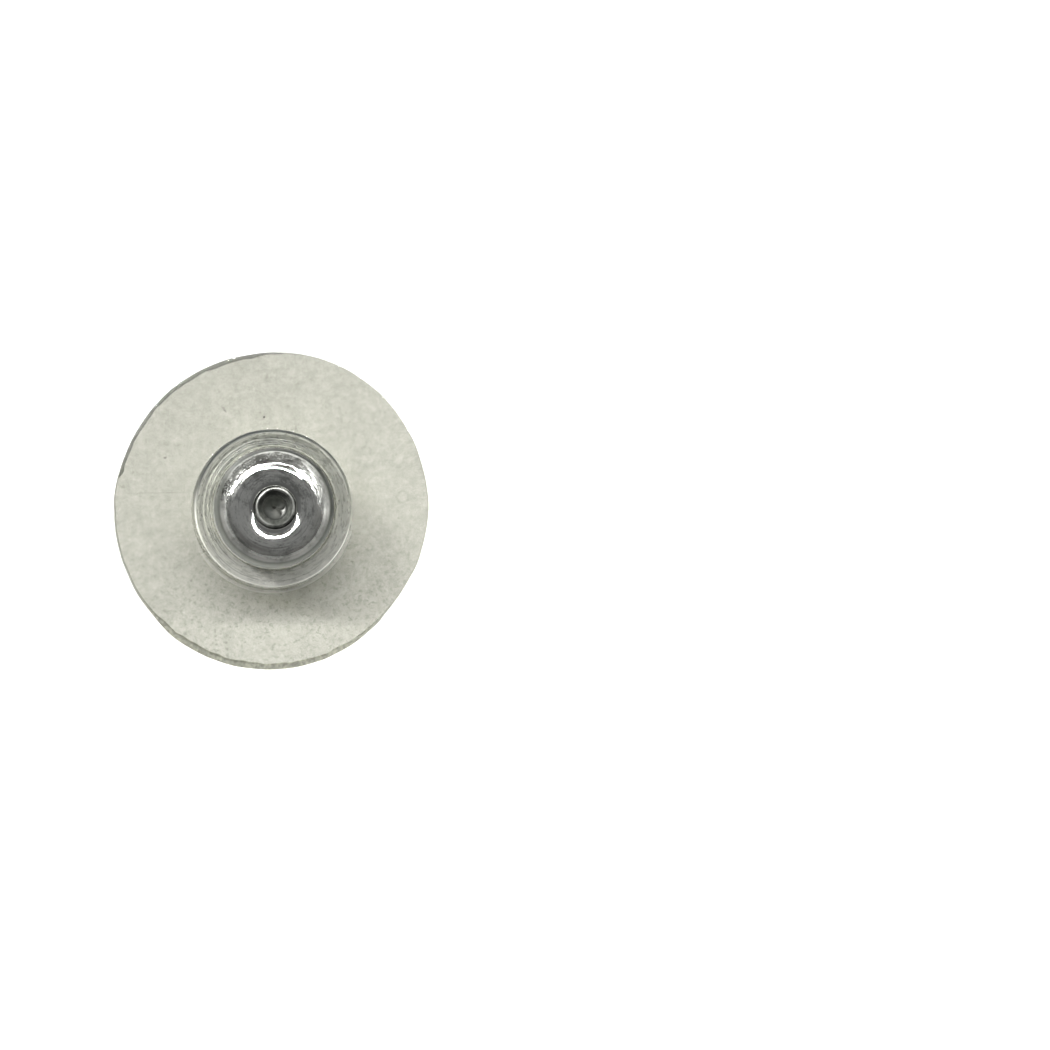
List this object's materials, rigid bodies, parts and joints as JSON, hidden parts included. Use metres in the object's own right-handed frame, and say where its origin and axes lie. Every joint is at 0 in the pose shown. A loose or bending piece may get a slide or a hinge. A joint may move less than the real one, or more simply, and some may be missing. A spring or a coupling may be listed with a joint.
{
  "type": "earring back",
  "caption": "Bullet earring back: hollow metal bullet with a post bore, held in the collar of a clear flat plastic comfort disc.",
  "frame": {"origin": "centre of the flat ear side of the comfort disc, on the post's axis", "axes": "+Z along the bullet, from the ear side to the rounded tail; X and Y are equal, in the plane of the disc"},
  "size_m": [0.011, 0.011, 0.0056],
  "materials": {
    "clear_plastic": "clear soft vinyl, faintly grey-green, gloss with fine scratches and dust",
    "bright_nickel": "bright nickel plate with fine scratches",
    "sleeve_metal": "bright plate, a little darker and duller inside the mouth"
  },
  "bodies": {
    "root": {"comfort_pad": "clear_plastic", "bullet_shell": "bright_nickel", "post_sleeve": "sleeve_metal"}
  },
  "joints": []
}
